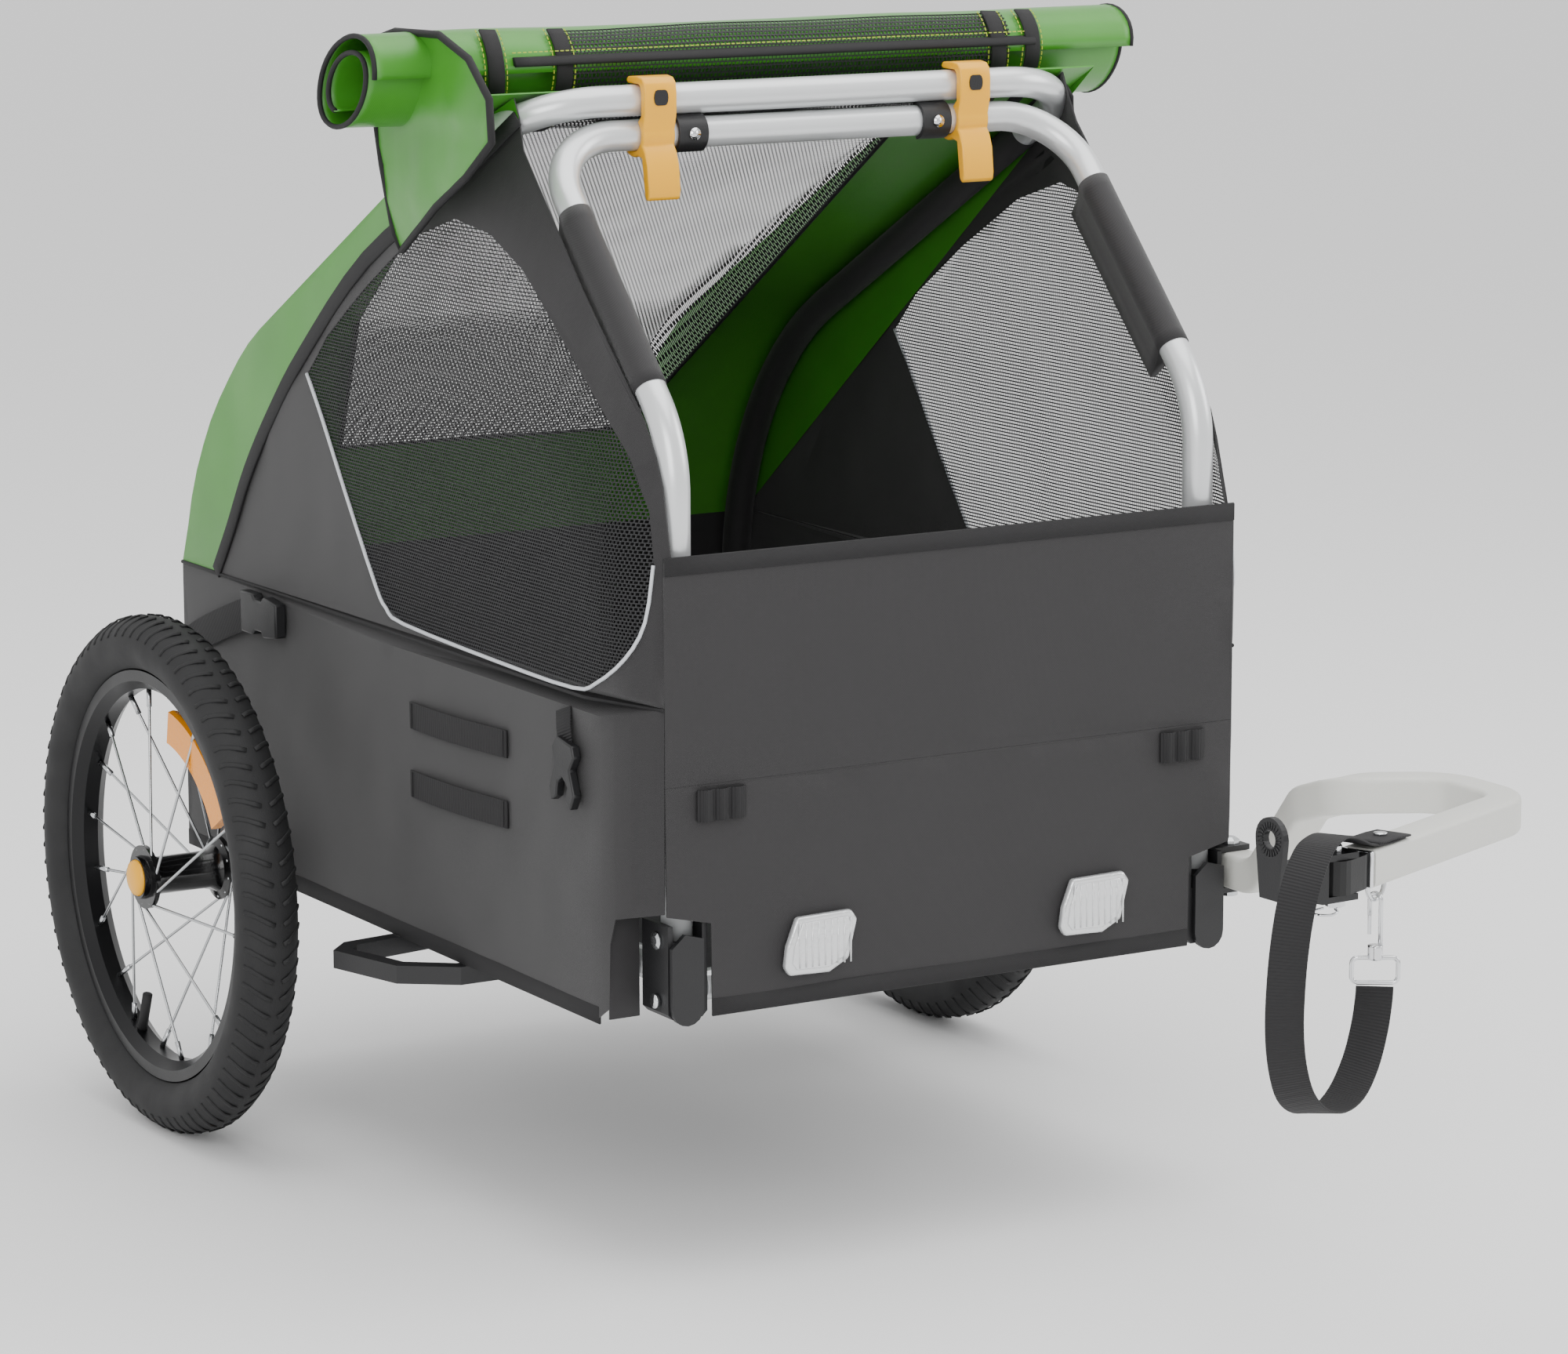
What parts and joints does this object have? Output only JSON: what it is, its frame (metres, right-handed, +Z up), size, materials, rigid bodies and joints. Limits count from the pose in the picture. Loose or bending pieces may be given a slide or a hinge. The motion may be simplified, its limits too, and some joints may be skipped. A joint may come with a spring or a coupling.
{
  "type": "bicycle trailer",
  "caption": "Two-wheel bicycle trailer with a folding tube hoop frame, fabric cabin with a rolled-up cover, and a one-sided tow bar with hitch and safety strap.",
  "frame": {"origin": "on the ground midway between the wheels, directly below the axle", "axes": "+Z up, -Y the way the trailer is towed, +X the trailer's own left side, along the axle"},
  "size_m": [0.748, 1.2143, 0.8604],
  "materials": {
    "frame_tube": "satin",
    "tow_bar_paint": "satin",
    "black_plastic": "matte, finely grained",
    "black_elastomer": "matte",
    "yellow_plastic": "satin",
    "hub_black": "gloss",
    "black_cloth": "plain weave",
    "green_cloth": "coated, slightly shiny",
    "clear_reflector": "moulded prisms",
    "tyre": "matte",
    "dark_rim": "satin",
    "bright_steel": "bright zinc or chrome"
  },
  "bodies": {
    "root": {"frame_rail_right": "frame_tube", "frame_rail_left": "frame_tube", "front_cross_tube": "frame_tube", "rear_cross_tube": "frame_tube", "axle_beam": "frame_tube", "floor_panel": "black_cloth", "front_bracket_right": "black_plastic", "front_bracket_left": "black_plastic", "rear_bracket_right": "black_plastic", "rear_bracket_left": "black_plastic", "bracket_cover_right": "black_plastic", "bracket_cover_left": "black_plastic", "front_pivot_bolt_right": "bright_steel", "front_pivot_bolt_left": "bright_steel", "rear_pivot_pin_right": "bright_steel", "rear_pivot_pin_left": "bright_steel", "tow_pivot_bolt": "bright_steel", "side_panel_right": "black_cloth", "side_panel_left": "black_cloth", "side_window_right": "black_cloth", "side_window_left": "black_cloth", "rear_cover": "green_cloth", "front_panel": "black_cloth", "front_panel_top": "black_cloth", "rear_panel": "black_cloth", "reflector_right": "clear_reflector", "reflector_left": "clear_reflector", "axle_receiver_right": "black_plastic", "axle_receiver_left": "black_plastic", "axle_pin_right": "bright_steel", "axle_pin_left": "bright_steel", "wheel_guard_right": "black_plastic", "wheel_guard_left": "black_plastic"},
    "front_hoop": {"front_hoop": "frame_tube", "saddle_clip_right": "black_plastic", "saddle_clip_left": "black_plastic", "leg_sleeve_right": "black_cloth", "leg_sleeve_left": "black_cloth"},
    "rear_hoop": {"rear_hoop": "frame_tube", "top_cover_roll": "green_cloth"},
    "latch_right": {"latch_right": "yellow_plastic"},
    "latch_left": {"latch_left": "yellow_plastic"},
    "wheel_right": {"tyre_right": "tyre", "rim_right": "dark_rim", "hub_right": "hub_black", "spokes_right": "bright_steel"},
    "wheel_left": {"tyre_left": "tyre", "rim_left": "dark_rim", "hub_left": "hub_black", "spokes_left": "bright_steel"},
    "hub_button_right": {"hub_button_right": "yellow_plastic"},
    "hub_button_left": {"hub_button_left": "yellow_plastic"},
    "tow_bar": {"tow_bar": "tow_bar_paint", "d_ring": "bright_steel", "snap_hook": "bright_steel", "safety_strap": "black_cloth"},
    "flex_connector": {"flex_connector": "black_elastomer"},
    "hitch_ear": {"hitch_ear": "black_plastic"},
    "hitch_pin": {"hitch_pin": "bright_steel"},
    "snap_gate": {"snap_gate": "bright_steel"}
  },
  "joints": [
    {"name": "front_fold", "type": "hinge", "parent": "root", "child": "front_hoop", "pos_m": [0, -0.566, 0.25], "axis": [-1, 0, 0], "range_deg": [0, 66], "deforming": ["side_window_right", "side_window_left", "front_panel_top", "rear_cover", "top_cover_roll"]},
    {"name": "rear_fold", "type": "hinge", "parent": "root", "child": "rear_hoop", "pos_m": [0, 0.135, 0.25], "axis": [1, 0, 0], "range_deg": [0, 36.5]},
    {"name": "latch_right_open", "type": "hinge", "parent": "front_hoop", "child": "latch_right", "pos_m": [-0.1315, -0.383, 0.785], "axis": [1, 0, 0], "range_deg": [0, 95]},
    {"name": "latch_left_open", "type": "hinge", "parent": "front_hoop", "child": "latch_left", "pos_m": [0.1315, -0.383, 0.785], "axis": [1, 0, 0], "range_deg": [0, 95]},
    {"name": "wheel_right_spin", "type": "hinge", "parent": "root", "child": "wheel_right", "pos_m": [-0.344, 0, 0.2], "axis": [1, 0, 0], "continuous": true},
    {"name": "wheel_left_spin", "type": "hinge", "parent": "root", "child": "wheel_left", "pos_m": [0.344, 0, 0.2], "axis": [1, 0, 0], "continuous": true},
    {"name": "hub_button_right_press", "type": "slide", "parent": "wheel_right", "child": "hub_button_right", "axis": [1, 0, 0], "range_m": [0, 0.004], "stiffness_N_per_m": 600},
    {"name": "hub_button_left_press", "type": "slide", "parent": "wheel_left", "child": "hub_button_left", "axis": [-1, 0, 0], "range_m": [0, 0.004], "stiffness_N_per_m": 600},
    {"name": "tow_bar_swing", "type": "hinge", "parent": "root", "child": "tow_bar", "pos_m": [0.25369, -0.56, 0.2442], "axis": [0, 0, 1], "range_deg": [0, 90]},
    {"name": "hitch_flex", "type": "hinge", "parent": "tow_bar", "child": "flex_connector", "pos_m": [0.07967, -0.93868, 0.335], "axis": [0, 0, 1], "range_deg": [-5, 5], "stiffness_Nm_per_rad": 20},
    {"name": "hitch_ear_swivel", "type": "hinge", "parent": "flex_connector", "child": "hitch_ear", "pos_m": [0.06296, -0.94589, 0.335], "axis": [0, 0, 1], "range_deg": [-20, 3]},
    {"name": "hitch_pin_pull", "type": "slide", "parent": "flex_connector", "child": "hitch_pin", "axis": [0, 0, -1], "range_m": [0, 0.03]},
    {"name": "snap_gate_press", "type": "slide", "parent": "tow_bar", "child": "snap_gate", "axis": [0, 0, -1], "range_m": [0, 0.006], "stiffness_N_per_m": 300}
  ],
  "couplings": [
    {"joint": "rear_fold", "follows": "front_fold", "ratio": 0.55}
  ]
}
